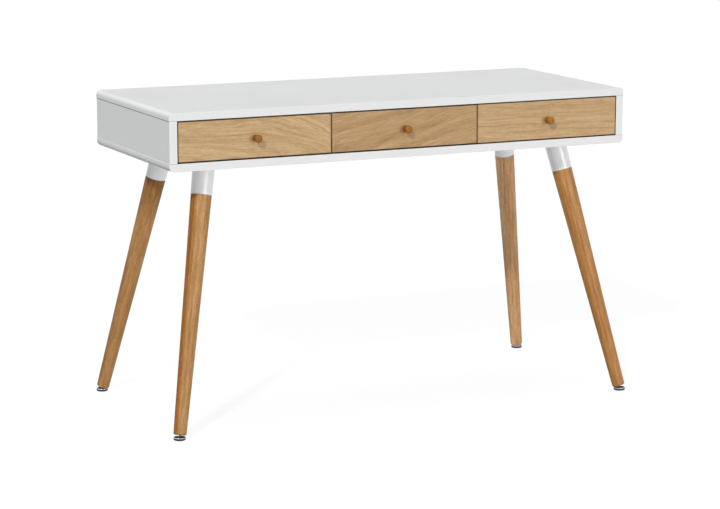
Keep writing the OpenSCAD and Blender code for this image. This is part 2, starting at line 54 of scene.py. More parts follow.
def mixed(tree, share, first, second, **settings):
    """A colour between two: the first where share is 0, the second where it is 1."""
    mix = put(tree, "Mix", {"Factor": share, "A": first, "B": second}, data_type="RGBA", **settings)
    return mix.outputs["Result"]


def camera_sees(tree):
    """1 where the eye, a reflection or a view through something meets the surface, else 0."""
    ray = put(tree, "LightPath").outputs
    seen = math_node(tree, "MAXIMUM", ray["Is Camera Ray"], ray["Is Glossy Ray"])
    return math_node(tree, "MAXIMUM", seen, ray["Is Transmission Ray"])


scene = bpy.context.scene
scene.view_settings.view_transform = "Standard"

# The camera's lens is in millimetres, its place in metres
camera = bpy.data.objects.new("camera", bpy.data.cameras.new("camera"))
camera.data.sensor_width = 36
camera.data.lens = 126.73
camera.data.clip_end = 100
camera.location = (-2.6304, -5.6290, 1.4932)
camera.rotation_euler = (math.radians(79.546), 0, math.radians(-25.025))
scene.collection.objects.link(camera)
scene.camera = camera

# The surround looks white, but gives only a faint light of its own
clear_white, faint_sky = (1, 1, 1, 1), (0.100, 0.105, 0.110, 1)
surround = bpy.data.worlds.new("surround")
surround.use_nodes = True
tree = surround.node_tree
tree.nodes.clear()
sky = put(tree, "Background", {"Color": mixed(tree, camera_sees(tree), faint_sky, clear_white)})
put(tree, "OutputWorld", {"Surface": sky.outputs[0]})
scene.world = surround

floor_half = 60
floor_corners = [(x * floor_half, y * floor_half, 0)
                 for x, y in ((-1, -1), (1, -1), (1, 1), (-1, 1))]
floor_mesh = bpy.data.meshes.new("floor")
floor_mesh.from_pydata(floor_corners, [], [(0, 1, 2, 3)])
floor = bpy.data.objects.new("floor", floor_mesh)
scene.collection.objects.link(floor)

# The floor throws a soft light up under the desk, and looks nearly white, with a faint shadow
floor_bounce, floor_shadow, floor_glow = (0.60, 0.61, 0.62, 1), (0.18, 0.18, 0.18, 1), 0.89
floor_paint = bpy.data.materials.new("floor")
floor_paint.use_nodes = True
tree = floor_paint.node_tree
tree.nodes.clear()
lit = put(tree, "BsdfDiffuse", {"Color": floor_bounce})
seen_lit = put(tree, "BsdfDiffuse", {"Color": floor_shadow})
seen_glow = put(tree, "Emission", {"Color": clear_white, "Strength": floor_glow})
seen = put(tree, "AddShader", {0: seen_lit.outputs[0], 1: seen_glow.outputs[0]})
both = put(tree, "MixShader", {0: camera_sees(tree), 1: lit.outputs[0], 2: seen.outputs[0]})
# Seen from below, the floor is left out, so that it doesn't hide the desk's underside
below = put(tree, "NewGeometry").outputs["Backfacing"]
nothing = put(tree, "BsdfTransparent").outputs[0]
one_sided = put(tree, "MixShader", {0: below, 1: both.outputs[0], 2: nothing})
put(tree, "OutputMaterial", {"Surface": one_sided.outputs[0]})
floor_mesh.materials.append(floor_paint)


def lamp(name, towards, share, width, color):
    """A distant soft lamp, width in degrees; share is the light on a white face turned to it."""
    light = bpy.data.lights.new(name, "SUN")
    light.color = color
    light.energy = share * math.pi
    light.angle = math.radians(width)
    lamp_object = bpy.data.objects.new(name, light)
    lamp_object.rotation_euler = Vector(towards).to_track_quat("Z", "Y").to_euler()
    scene.collection.objects.link(lamp_object)


# One narrow lamp to the left of the camera and over it, and broad ones that fill in all round
lamp("spot", (-0.555, -0.62, 0.55), 0.46, 4, (1.0, 1.0, 0.995))
lamp("left_softbox", (-0.48, 0.10, 0.87), 0.055, 35, (0.96, 0.99, 1.0))
lamp("high_softbox", (0.00, 0.12, 0.99), 0.27, 40, (0.98, 1.0, 1.0))
lamp("rear_softbox", (-0.15, 0.90, 0.40), 0.12, 30, (0.98, 1.0, 1.01))
lamp("front_softbox", (0.26, -0.95, 0.14), 0.195, 38, (1.0, 0.985, 0.97))
# Low enough to reach under the casing, on to the collars and the far legs
lamp("low_softbox", (0.30, -0.95, 0.07), 0.22, 12, (1.0, 0.985, 0.97))


# ---- Casing ----
# Two long boards with rounded ends, four uprights and a back panel, all of fibreboard that is
# sprayed with a satin white lacquer. Dowels and cam fittings hold them together, and the joints
# show as fine lines.

def new_group(name, inputs, outputs):
    """A shader node group; returns its tree, the sockets it is given and those it puts out."""
    tree = bpy.data.node_groups.new(name, "ShaderNodeTree")
    for label, kind, value in inputs:
        socket = tree.interface.new_socket(label, in_out="INPUT", socket_type="NodeSocket" + kind)
        if value is not None:
            socket.default_value = value
    for label, kind in outputs:
        tree.interface.new_socket(label, in_out="OUTPUT", socket_type="NodeSocket" + kind)
    return tree, tree.nodes.new("NodeGroupInput").outputs, tree.nodes.new("NodeGroupOutput").inputs


def vector_node(tree, operation, a, b=(0, 0, 0)):
    """A vector from one or two others; a DOT_PRODUCT or LENGTH gives a number."""
    node = put(tree, "VectorMath", {0: a, 1: b}, operation=operation)
    return node.outputs["Value" if operation in ("DOT_PRODUCT", "LENGTH") else "Vector"]


def xyz(tree, vector):
    """The X, Y and Z of a vector, by name."""
    return put(tree, "SeparateXYZ", {0: vector}).outputs


def surface_place(tree):
    """Where a point of the piece lies on the desk, in metres; it rides along with the piece."""
    return put(tree, "TexCoord").outputs["Object"]


def surface_facing(tree):
    """Which way the piece's surface faces."""
    return put(tree, "TexCoord").outputs["Normal"]


def noise(tree, place, scale, detail, **more):
    """Cloudy noise, with scale blobs to the metre and detail layers of finer ones in them."""
    values = {"Vector": place, "Scale": scale, "Detail": detail, **more}
    return put(tree, "TexNoise", values).outputs["Fac"]


def remapped(tree, value, start, end, first=0.0, last=1.0):
    """Goes from first to last while the value goes from start to end, and no further."""
    ranges = {"Value": value, "From Min": start, "From Max": end, "To Min": first, "To Max": last}
    return put(tree, "MapRange", ranges).outputs[0]


def spread(tree, raw, first, last):
    """Noise keeps mostly between 0.3 and 0.7; this draws it out to run from first to last."""
    return remapped(tree, raw, 0.3, 0.7, first, last)


def new_material(name, **values):
    """A material with one Principled BSDF; values go on its sockets, with _ for a space."""
    material = bpy.data.materials.new(name)
    material.use_nodes = True
    tree = material.node_tree
    surface = tree.nodes["Principled BSDF"]
    for label, value in values.items():
        surface.inputs[label.replace("_", " ")].default_value = value
    return material, tree, surface


def finish_node(node_name, material):
    """Gives a CAD node this material in all its slots."""
    mesh = nodes[node_name].data
    for i in range(len(mesh.materials)):
        mesh.materials[i] = material
    if not mesh.materials:
        mesh.materials.append(material)


# Sprayed finish: a faint orange peel, cloudy gloss, and a little variation of tone. Its peel size
# is in metres, and a higher gloss value is duller.
cloud_scale, speck_scale = 5.0, 300.0
dust_start, dust_full = 0.68, 0.78
cloud_tone, dust_tone = 0.12, 0.10
dull_swing, glossy_swing = 0.06, -0.05
spray, given, out = new_group(
    "sprayed_finish",
    [("Color", "Color", (0.85, 0.85, 0.85, 1)), ("Worn Color", "Color", (0.7, 0.7, 0.7, 1)),
     ("Peel Size", "Float", 0.0025), ("Gloss", "Float", 0.35)],
    [("Color", "Color"), ("Roughness", "Float"), ("Height", "Float")])
place = surface_place(spray)
peel = noise(spray, place, math_node(spray, "DIVIDE", 1.0, given["Peel Size"]), 1.0)
cloud = noise(spray, place, cloud_scale, 3.0)
dust = remapped(spray, noise(spray, place, speck_scale, 2.0), dust_start, dust_full)
tone = math_node(spray, "ADD", spread(spray, cloud, 0.0, cloud_tone),
                 math_node(spray, "MULTIPLY", dust, dust_tone))
gloss = spread(spray, cloud, glossy_swing, dull_swing)
spray.links.new(mixed(spray, tone, given["Color"], given["Worn Color"]), out["Color"])
spray.links.new(math_node(spray, "ADD", given["Gloss"], gloss), out["Roughness"])
spray.links.new(peel, out["Height"])


def join_finish(tree, surface, finish, roughness, depth):
    """Joins a finish's colour, roughness and height to a surface; the depth is in metres."""
    bump = put(tree, "Bump", {"Height": finish.outputs["Height"], "Distance": depth})
    tree.links.new(finish.outputs["Color"], surface.inputs["Base Color"])
    tree.links.new(roughness, surface.inputs["Roughness"])
    tree.links.new(bump.outputs[0], surface.inputs["Normal"])


def sprayed(name, color, worn, gloss, peel_size=0.0025, peel_height=0.00002, **values):
    """A sprayed or moulded surface; peel size and height are in metres."""
    material, tree, surface = new_material(name, **values)
    coat = put(tree, "Group", node_tree=spray)
    coat.inputs["Color"].default_value = (*color, 1)
    coat.inputs["Worn Color"].default_value = (*worn, 1)
    coat.inputs["Peel Size"].default_value = peel_size
    coat.inputs["Gloss"].default_value = gloss
    join_finish(tree, surface, coat, coat.outputs["Roughness"], peel_height)
    return material


def over_color(material, group, **values):
    """Lays a group over a material's colour; values go on its sockets, with _ for a space."""
    tree = material.node_tree
    base = tree.nodes["Principled BSDF"].inputs["Base Color"]
    layer = put(tree, "Group", {"Color": base.links[0].from_socket}, node_tree=group)
    for label, value in values.items():
        layer.inputs[label.replace("_", " ")].default_value = value
    tree.links.new(layer.outputs["Color"], base)


white_lacquer = sprayed("white_lacquer", (0.86, 0.865, 0.855), (0.78, 0.785, 0.775), 0.48,
                        Specular_IOR_Level=0.2)

# The ends' upper rounds are painted whiter, as a painted highlight, and the lower rounds greyer, as
# painted shade. A slope tells how far a face leans both outwards and up, or down where it is below
# 0.
painted_highlight_white, painted_shade_grey = (0.95, 0.95, 0.935, 1), (0.52, 0.54, 0.545, 1)
highlight_slope, shade_slope = 0.45, -0.35
rounds, given, out = new_group(
    "round_ends",
    [("Color", "Color", (0.8, 0.8, 0.8, 1)), ("Painted Highlight", "Float", 0.8), ("Painted Shade", "Float", 0.8)],
    [("Color", "Color")])
facing = xyz(rounds, surface_facing(rounds))
slope = math_node(rounds, "MULTIPLY", math_node(rounds, "ABSOLUTE", facing["X"]), facing["Z"])
round_highlight = math_node(rounds, "MULTIPLY", remapped(rounds, slope, 0.0, highlight_slope), given["Painted Highlight"])
round_shade = math_node(rounds, "MULTIPLY", remapped(rounds, slope, 0.0, shade_slope), given["Painted Shade"])
round_highlighted = mixed(rounds, round_highlight, given["Color"], painted_highlight_white)
rounds.links.new(mixed(rounds, round_shade, round_highlighted, painted_shade_grey), out["Color"])
over_color(white_lacquer, rounds)

# The lacquer stops just inside the opening: further in, the uprights show their bare brown
# fibreboard, and the long boards get a near-black facing that is painted shade, so that the gaps
# over and under the drawers look nearly black. It stops Lacquer Depth behind the front edges, in
# metres, and the bare part reaches to the back panel, between the end uprights.
light_fibre, dark_fibre = (0.30, 0.19, 0.10, 1), (0.19, 0.115, 0.06, 1)
painted_gap_shade = (0.060, 0.044, 0.030, 1)
chip_scale = 420.0
left_low, left_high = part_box("left_side_panel")
right_low, right_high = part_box("right_side_panel")
back_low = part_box("back_panel")[0]
# A face of the casing is known by its place, to within this many metres
margin = 0.0004
bare_and_shade, given, out = new_group(
    "bare_inside_and_shade", [("Color", "Color", (0.8, 0.8, 0.8, 1)), ("Lacquer Depth", "Float", 0.0008)],
    [("Color", "Color")])
place = surface_place(bare_and_shade)
axis = xyz(bare_and_shade, place)
stop = math_node(bare_and_shade, "ADD", given["Lacquer Depth"], left_low.y)
inside = math_node(bare_and_shade, "GREATER_THAN", axis["Y"], stop)
for name, low, high in (("X", left_high.x, right_low.x), ("Y", left_low.y, back_low.y),
                        ("Z", left_low.z, left_high.z)):
    within = math_node(bare_and_shade, "COMPARE", axis[name], (high + low) / 2, (high - low) / 2 + margin)
    inside = math_node(bare_and_shade, "MULTIPLY", inside, within)
chips = noise(bare_and_shade, place, chip_scale, 4.0, Roughness=0.7)
fibreboard = mixed(bare_and_shade, chips, light_fibre, dark_fibre)
level = math_node(bare_and_shade, "ABSOLUTE", xyz(bare_and_shade, surface_facing(bare_and_shade))["Z"])
bare_and_shade_color = mixed(bare_and_shade, level, fibreboard, painted_gap_shade)
bare_and_shade.links.new(mixed(bare_and_shade, inside, given["Color"], bare_and_shade_color), out["Color"])
over_color(white_lacquer, bare_and_shade)

# The open joints where the uprights meet the boards: a dark line under the top board's end, which
# is partly the joint and partly a painted shadow of its overhang, and a hair line in front. The
# lines' widths are in metres.
joint_and_shadow_grey = (0.20, 0.20, 0.20, 1)
joints, given, out = new_group(
    "joint_lines",
    [("Color", "Color", (0.8, 0.8, 0.8, 1)), ("End Shadow Line", "Float", 0.0015),
     ("Front Line", "Float", 0.0003)],
    [("Color", "Color")])
axis = xyz(joints, surface_place(joints))
outwards = math_node(joints, "ABSOLUTE", axis["X"])
end_face = math_node(joints, "GREATER_THAN", outwards, right_high.x - margin)
half_line = math_node(joints, "MULTIPLY", given["End Shadow Line"], 0.5)
below_top = math_node(joints, "SUBTRACT", left_high.z, axis["Z"])
lines = math_node(joints, "COMPARE", below_top, half_line, half_line)
lines = math_node(joints, "MULTIPLY", lines, end_face)
front_face = math_node(joints, "LESS_THAN", axis["Y"], left_low.y + margin)
at_upright = math_node(joints, "GREATER_THAN", outwards, right_low.x)
front_face = math_node(joints, "MULTIPLY", front_face, at_upright)
for height in (left_low.z, left_high.z):
    hair = math_node(joints, "COMPARE", axis["Z"], height, given["Front Line"])
    lines = math_node(joints, "MAXIMUM", lines, math_node(joints, "MULTIPLY", hair, front_face))
joints.links.new(mixed(joints, lines, given["Color"], joint_and_shadow_grey), out["Color"])
over_color(white_lacquer, joints)


same_point = 0.00001
sharp_angle = math.radians(50)


def ease_edges(node_name, radius):
    """Takes the sharpness off a board's edges, as sanding does before the finish."""
    weld = nodes[node_name].modifiers.new("welded", "WELD")
    weld.merge_threshold = same_point
    bevel = nodes[node_name].modifiers.new("eased edges", "BEVEL")
    bevel.width = radius
    bevel.segments = 2
    bevel.limit_method = "ANGLE"
    bevel.angle_limit = sharp_angle
    bevel.use_clamp_overlap = True


board_easing = 0.0007
for name in ("top_panel", "bottom_panel", "left_side_panel", "right_side_panel", "back_panel",
             "left_divider", "right_divider"):
    finish_node(name, white_lacquer)
    ease_edges(name, board_easing)


# ---- Drawer fronts ----
# Boards with an oak veneer on every face, its grain along the drawer, under a thin matt lacquer.
# Each front was cut from another leaf: one flowering out to the right, one slanting up, one
# straight. They stand flush in the opening, screwed to the boxes behind.

# Oak: growth rings of a log whose heart lies behind the face, uneven in width and tone, with pores
# in each ring's first wood, broken streaks of fibre and redder flecks. Its vector runs along the
# grain in x.
oak, given, out = new_group(
    "oak_grain",
    [("Vector", "Vector", None), ("Light Wood", "Color", (0.6, 0.4, 0.2, 1)),
     ("Dark Wood", "Color", (0.45, 0.28, 0.13, 1)), ("Pore Color", "Color", (0.25, 0.14, 0.06, 1)),
     ("Ring Width", "Float", 0.006), ("Heart Depth", "Float", 0.08), ("Heart Lean", "Float", 0.0),
     ("Sweep", "Float", 0.0), ("Wander", "Float", 0.01), ("Ring Contrast", "Float", 0.7),
     ("Line Contrast", "Float", 0.22), ("Streak Contrast", "Float", 0.6),
     ("Fibre Contrast", "Float", 0.4), ("Cloud Contrast", "Float", 0.35),
     ("Pore Contrast", "Float", 0.6), ("Red Fleck", "Float", 0.5)],
    [("Color", "Color"), ("Dark", "Float"), ("Height", "Float")])

# The grain wanders in wide bends and, less far, in small ones. Each has its share of the Wander,
# and its bends to the metre.
wide_bends, small_bends = (1.0, (2.6, 12.0, 12.0)), (0.16, (14.0, 55.0, 55.0))
noise_middle = (0.5, 0.5, 0.5)
drift = None
for wander_share, bends in (wide_bends, small_bends):
    bent = vector_node(oak, "MULTIPLY", given["Vector"], bends)
    swirl = put(oak, "TexNoise", {"Vector": bent, "Scale": 1.0, "Detail": 2.0, "Roughness": 0.55})
    swirl = vector_node(oak, "SUBTRACT", swirl.outputs["Color"], noise_middle)
    wander = math_node(oak, "MULTIPLY", given["Wander"], wander_share)
    swirl = put(oak, "VectorMath", {0: swirl, "Scale": wander}, operation="SCALE").outputs[0]
    drift = swirl if drift is None else vector_node(oak, "ADD", drift, swirl)
grain = xyz(oak, vector_node(oak, "ADD", given["Vector"], drift))

# How far each point lies from the log's heart, counted in rings of uneven width
ring_unevenness, uneven_scale = 3.0, 0.31
ahead = math_node(oak, "MAXIMUM", grain["X"], 0.0)
swept = math_node(oak, "MULTIPLY", math_node(oak, "MULTIPLY", ahead, ahead), given["Sweep"])
across = math_node(oak, "ADD", grain["Y"], swept)
depth = math_node(oak, "ADD", grain["Z"], given["Heart Depth"])
lean = math_node(oak, "MULTIPLY", grain["X"], given["Heart Lean"])
depth = math_node(oak, "ADD", depth, lean)
squares = [math_node(oak, "MULTIPLY", length, length) for length in (across, depth)]
radius = math_node(oak, "SQRT", math_node(oak, "ADD", *squares))
rings = math_node(oak, "DIVIDE", radius, given["Ring Width"])
uneven = put(oak, "TexNoise", {"W": rings, "Scale": uneven_scale, "Detail": 1.0},
             noise_dimensions="1D").outputs["Fac"]
rings = math_node(oak, "ADD", rings, math_node(oak, "MULTIPLY", uneven, ring_unevenness))

# Broad bands of tone, and in each ring a line of late wood that fades in and out. The ramp says
# how dark that line is at its place in the ring.
ring_start, ring_end = (0.75, 0.75, 0.75, 1), (0.8, 0.8, 0.8, 1)
within_ring = ((0.14, 0.15), (0.45, 0.0), (0.8, 0.45))
band = put(oak, "TexNoise", {"W": rings, "Scale": 0.9, "Detail": 4.0, "Roughness": 0.62},
           noise_dimensions="1D").outputs["Fac"]
band = spread(oak, band, -0.5, 0.5)
ring_place = math_node(oak, "FRACT", rings)
late = put(oak, "ValToRGB", {"Fac": ring_place})
late.color_ramp.interpolation = "EASE"
stops = late.color_ramp.elements
stops[0].color, stops[1].color = ring_start, ring_end
for position, grey in within_ring:
    stops.new(position).color = (grey, grey, grey, 1)


def stretched(along_scale, across_scale, detail, **more):
    """Noise drawn out along the oak's grain, from -0.5 to 0.5; scales are blobs to the metre."""
    scaled = {"X": math_node(oak, "MULTIPLY", grain["X"], along_scale),
              "Y": math_node(oak, "MULTIPLY", across, across_scale),
              "Z": math_node(oak, "MULTIPLY", grain["Z"], across_scale)}
    place = put(oak, "CombineXYZ", scaled).outputs[0]
    return spread(oak, noise(oak, place, 1.0, detail, **more), -0.5, 0.5)


streak = stretched(22.0, 260.0, 3.0, Roughness=0.6)
fibre = stretched(60.0, 900.0, 3.0, Roughness=0.65)
cloud = stretched(3.0, 45.0, 3.0)
fade = math_node(oak, "ADD", stretched(9.0, 80.0, 1.0), 0.5)
line = math_node(oak, "MULTIPLY", late.outputs["Color"], fade)
plain_wood = 0.40
dark = plain_wood
for pattern, contrast in ((line, "Line"), (band, "Ring"), (streak, "Streak"), (fibre, "Fibre"),
                          (cloud, "Cloud")):
    dark = math_node(oak, "MULTIPLY_ADD", pattern, given[contrast + " Contrast"], dark)

# Pores gather in the first wood of each ring, and redder flecks lie over all
first_wood_end, first_wood_full, first_wood_pores = 0.45, 0.1, 0.25
pore_start, pore_full = 0.25, 0.6
fleck_start, fleck_full = 0.28, 0.55
red_shift = (0.94, 0.80, 0.62)
fibre_height = 0.3
first_wood = remapped(oak, ring_place, first_wood_end, first_wood_full, 0.0, first_wood_pores)
pore = math_node(oak, "ADD", stretched(130.0, 2600.0, 1.0), first_wood)
pore = remapped(oak, pore, pore_start, pore_full)
fleck = remapped(oak, stretched(35.0, 190.0, 2.0), fleck_start, fleck_full)
fleck = math_node(oak, "MULTIPLY", fleck, given["Red Fleck"])
wood = mixed(oak, dark, given["Light Wood"], given["Dark Wood"], clamp_factor=False)
wood = mixed(oak, fleck, wood, vector_node(oak, "MULTIPLY", wood, red_shift))
porous = math_node(oak, "MULTIPLY", pore, given["Pore Contrast"])
oak.links.new(mixed(oak, porous, wood, given["Pore Color"]), out["Color"])
oak.links.new(dark, out["Dark"])
raised = math_node(oak, "MULTIPLY", fibre, fibre_height)
oak.links.new(math_node(oak, "SUBTRACT", raised, pore), out["Height"])


def toned(tone, woods):
    """The light, dark and pore colours of a piece whose wood is toned by these shares."""
    return [tuple(share * channel for share, channel in zip(tone, wood)) for wood in woods]


# The pores' depth is in metres, and darker wood takes the lacquer a little duller
pore_depth = 0.00004
light_duller, dark_duller = -0.04, 0.08


def oak_material(name, place, angles, woods, gloss, figure, **values):
    """Oak under lacquer: place is where the grain starts, and angles turn it along the piece."""
    material, tree, surface = new_material(name, **values)
    shifted = vector_node(tree, "SUBTRACT", surface_place(tree), place)
    turned = put(tree, "Mapping", {"Vector": shifted, "Rotation": angles})
    wood = put(tree, "Group", {"Vector": turned.outputs[0]}, node_tree=oak)
    for label, color in zip(("Light Wood", "Dark Wood", "Pore Color"), woods):
        wood.inputs[label].default_value = (*color, 1)
    for label, value in figure.items():
        wood.inputs[label].default_value = value
    roughness = remapped(tree, wood.outputs["Dark"], 0.0, 1.0,
                         gloss + light_duller, gloss + dark_duller)
    join_finish(tree, surface, wood, roughness, pore_depth)
    return material


# A thin band of painted shade darkens a front along its long edges, so that the gaps over and under
# it look darker. The group is given the front's middle height, and how far the face reaches down
# and up from it. Faces that look up and down are left without the painted shade.
edge_shade_brown = (0.035, 0.026, 0.017, 1)
edge_level = 0.9
edge_shade, given, out = new_group(
    "painted_edge_shade",
    [("Color", "Color", (0.6, 0.4, 0.2, 1)), ("Middle", "Float", 0.0),
     ("Lower Half", "Float", 0.05), ("Upper Half", "Float", 0.05)],
    [("Color", "Color")])
height = math_node(edge_shade, "SUBTRACT", xyz(edge_shade, surface_place(edge_shade))["Z"], given["Middle"])
lower_end = math_node(edge_shade, "MULTIPLY", given["Lower Half"], -1.0)
lines = math_node(edge_shade, "MAXIMUM", math_node(edge_shade, "LESS_THAN", height, lower_end),
                  math_node(edge_shade, "GREATER_THAN", height, given["Upper Half"]))
level = math_node(edge_shade, "ABSOLUTE", xyz(edge_shade, surface_facing(edge_shade))["Z"])
lines = math_node(edge_shade, "MULTIPLY", lines, math_node(edge_shade, "LESS_THAN", level, edge_level))
edge_shade.links.new(mixed(edge_shade, lines, given["Color"], edge_shade_brown), out["Color"])

# Each leaf: where its figure starts along and up from the front's middle, in metres, its slant in
# degrees, its tone beside the plain oak, the widths of its lower and upper painted edge shade, its
# figure
oak_woods = ((0.690, 0.472, 0.244), (0.450, 0.265, 0.092), (0.285, 0.150, 0.050))
along_desk = math.radians(-90)
fronts = {
    "left": ((-0.02, -0.040), 0.0, (0.955, 0.945, 0.935), (0.0010, 0.0007),
             {"Sweep": 1.1, "Heart Depth": 0.022, "Heart Lean": 0.08, "Ring Width": 0.0075,
              "Wander": 0.044, "Cloud Contrast": 0.38, "Ring Contrast": 0.62,
              "Fibre Contrast": 0.5}),
    "centre": ((0.0, 0.0), -13.0, (0.80, 0.75, 0.685), (0.0009, 0.0007),
               {"Heart Depth": 0.060, "Heart Lean": 0.02, "Ring Width": 0.010, "Wander": 0.030,
                "Cloud Contrast": 0.5}),
    "right": ((0.0, -0.10), 0.5, (0.925, 0.90, 0.905), (0.0003, 0.0001),
              {"Heart Depth": 0.050, "Ring Width": 0.0065, "Wander": 0.034, "Ring Contrast": 0.40,
               "Line Contrast": 0.10, "Cloud Contrast": 0.42, "Streak Contrast": 0.5}),
}
front_gloss, front_easing = 0.50, 0.0008
for side, ((along, up), slant, tone, (lower_shade_width, upper_shade_width), figure) in fronts.items():
    low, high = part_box(side + "_drawer_front")
    middle = (low + high) / 2
    half_height = (high.z - low.z) / 2
    veneer = oak_material("oak_veneer_" + side, (middle.x + along, low.y, middle.z + up),
                          (along_desk, 0, math.radians(slant)), toned(tone, oak_woods),
                          front_gloss, figure)
    # Painted shade along the front's upper and lower edges
    over_color(veneer, edge_shade, Middle=middle.z, Lower_Half=half_height - lower_shade_width,
               Upper_Half=half_height - upper_shade_width)
    finish_node(side + "_drawer_front", veneer)
    ease_edges(side + "_drawer_front", front_easing)


# ---- Knobs ----
# Small turned knobs of oak, stained a darker brown and lacquered, screwed on from inside the
# drawers. The stain took a little less on the centre and right ones.

knob_woods = ((0.358, 0.138, 0.010), (0.205, 0.072, 0.005), (0.12, 0.040, 0.006))
knob_figure = {"Ring Width": 0.004, "Heart Depth": 0.03, "Fibre Contrast": 0.7, "Wander": 0.004}
knob_gloss = 0.34
for side, tone in (("left", 1.0), ("centre", 1.12), ("right", 1.25)):
    low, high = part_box(side + "_drawer_knob")
    knob_oak = oak_material("knob_oak_" + side, (low + high) / 2, (along_desk, 0, math.radians(90)),
                            toned((tone, tone, tone), knob_woods), knob_gloss, knob_figure,
                            Specular_IOR_Level=0.25)
    finish_node(side + "_drawer_knob", knob_oak)


# ---- Drawer boxes ----
# Sides, back and bottom of white coated board behind each front, joined with beech dowels, with
# the bottom slid into grooves and screwed up into the box back.

coated_board = sprayed("coated_board", (0.78, 0.77, 0.73), (0.70, 0.69, 0.65), 0.5,
                       peel_size=0.0012, peel_height=0.00003)
for side in fronts:
    for part in ("left_side", "right_side", "back", "bottom"):
        finish_node(f"{side}_drawer_{part}", coated_board)

pale_beech, dark_beech = (0.72, 0.52, 0.32, 1), (0.55, 0.36, 0.20, 1)
pale_roughness, dark_roughness = 0.5, 0.7
fleck_scales = (900, 90, 900)
beech, tree, surface = new_material("beech")
drawn_out = put(tree, "Mapping", {"Vector": surface_place(tree), "Scale": fleck_scales}).outputs[0]
flecks = noise(tree, drawn_out, 1.0, 2.0)
tree.links.new(mixed(tree, flecks, pale_beech, dark_beech), surface.inputs["Base Color"])
roughness = remapped(tree, flecks, 0.0, 1.0, pale_roughness, dark_roughness)
tree.links.new(roughness, surface.inputs["Roughness"])
for name in ["casing_dowels"] + [side + "_drawer_dowels" for side in fronts]:
    finish_node(name, beech)


# ---- Runners and fixings ----
# Ball runners of zinc plated sheet steel at both sides of each drawer, with their screws, and the
# cam fittings, bolts and threaded sleeves that join the desk.

stain_scale, scratch_scales = 45.0, (1500, 25, 1500)
stain_start, stain_full = 0.35, 0.7
scratch_dulling = 0.12
plated, given, out = new_group(
    "plated_steel",
    [("Color", "Color", (0.6, 0.61, 0.63, 1)), ("Stained Color", "Color", (0.45, 0.46, 0.48, 1)),
     ("Gloss", "Float", 0.3)],
    [("Color", "Color"), ("Roughness", "Float"), ("Height", "Float")])
place = surface_place(plated)
stain = remapped(plated, noise(plated, place, stain_scale, 4.0), stain_start, stain_full)
rolled = put(plated, "Mapping", {"Vector": place, "Scale": scratch_scales}).outputs[0]
scratch = noise(plated, rolled, 1.0, 2.0)
dulled = math_node(plated, "MULTIPLY", scratch, scratch_dulling)
plated.links.new(mixed(plated, stain, given["Color"], given["Stained Color"]), out["Color"])
plated.links.new(math_node(plated, "ADD", given["Gloss"], dulled), out["Roughness"])
plated.links.new(scratch, out["Height"])


def metal(name, color, stained, gloss, scratch_depth=0.00001):
    """Plated steel with fine scratches, whose depth is in metres."""
    material, tree, surface = new_material(name, Metallic=1.0)
    skin = put(tree, "Group", node_tree=plated)
    skin.inputs["Color"].default_value = (*color, 1)
    skin.inputs["Stained Color"].default_value = (*stained, 1)
    skin.inputs["Gloss"].default_value = gloss
    join_finish(tree, surface, skin, skin.outputs["Roughness"], scratch_depth)
    return material


zinc = metal("zinc_plate", (0.66, 0.67, 0.69), (0.50, 0.51, 0.54), 0.28)
fixings = ["casing_rails", "casing_cam_fittings", "rail_screws", "collar_screws", "leg_studs",
           "foot_sleeves"]
fixings += [f"{side}_{part}" for side in fronts
            for part in ("drawer_rails", "ball_cages", "drawer_screws")]
for name in fixings:
    finish_node(name, zinc)


# ---- Collars ----
# Cast collars, painted a satin white, that are screwed under the casing and hold the tops of the
# legs. The leg's shoulder shows as a hair line under the bright lower rim.

corners = [(y, x) for y in ("front", "back") for x in ("left", "right")]
# The leg's axis meets the foot at the ball, this high over the floor; the collar's length lies
# along the axis. Both are in metres.
ball_height = 0.004
collar_length = 0.076


def leg_line(y, x):
    """The foot of a leg's axis, which way it runs down, and how far up it the collar starts."""
    screw = next(joint for joint in frame["joints"] if joint["name"] == f"{y}_{x}_foot_screw")
    down = Vector(screw["axis"])
    foot_low, foot_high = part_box(f"{y}_{x}_foot_pad")
    foot = (foot_low + foot_high) / 2
    foot.z = ball_height
    foot_to_casing = (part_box("bottom_panel")[0].z - foot.z) / -down.z
    return foot, down, foot_to_casing - collar_length


# A painted highlight lies in a brighter, bluer band along the lower rim, up from the leg's
# shoulder.
# It fades out over these shares of its height, which is in metres.
painted_rim_highlight = (0.93, 0.965, 0.99, 1)
highlight_end, highlight_full = 1.4, 0.8
rim, given, out = new_group(
    "rim_highlight",
    [("Color", "Color", (0.8, 0.8, 0.8, 1)), ("Rim Place", "Vector", None),
     ("Down", "Vector", None), ("Highlight Height", "Float", 0.003)],
    [("Color", "Color")])
up_from_rim = vector_node(rim, "SUBTRACT", given["Rim Place"], surface_place(rim))
up_from_rim = vector_node(rim, "DOT_PRODUCT", up_from_rim, given["Down"])
rim_height_share = math_node(rim, "DIVIDE", up_from_rim, given["Highlight Height"])
highlight_mask = remapped(rim, rim_height_share, highlight_end, highlight_full)
rim.links.new(mixed(rim, highlight_mask, given["Color"], painted_rim_highlight), out["Color"])

for y, x in corners:
    foot, down, foot_to_collar = leg_line(y, x)
    paint = sprayed(f"white_paint_{y}_{x}", (0.965, 0.968, 0.965), (0.91, 0.915, 0.915), 0.34,
                    peel_size=0.0015, Specular_IOR_Level=0.5, Coat_Weight=0.9, Coat_Roughness=0.14)
    # A painted highlight along the collar's lower rim
    over_color(paint, rim, Rim_Place=foot - down * foot_to_collar, Down=down)
    finish_node(f"{y}_{x}_collar", paint)


# ---- Legs ----
# Round legs turned from solid oak, tapered towards the floor and lacquered, each with its tenon up
# in its collar. The grain runs down the leg.

# Painted light on the legs' left sides: painted shade on the front legs, and a paler painted sheen
# on the back right one, from where a face turns this far to the left, with -1 for straight left.
left_start, left_full = -0.55, -0.97
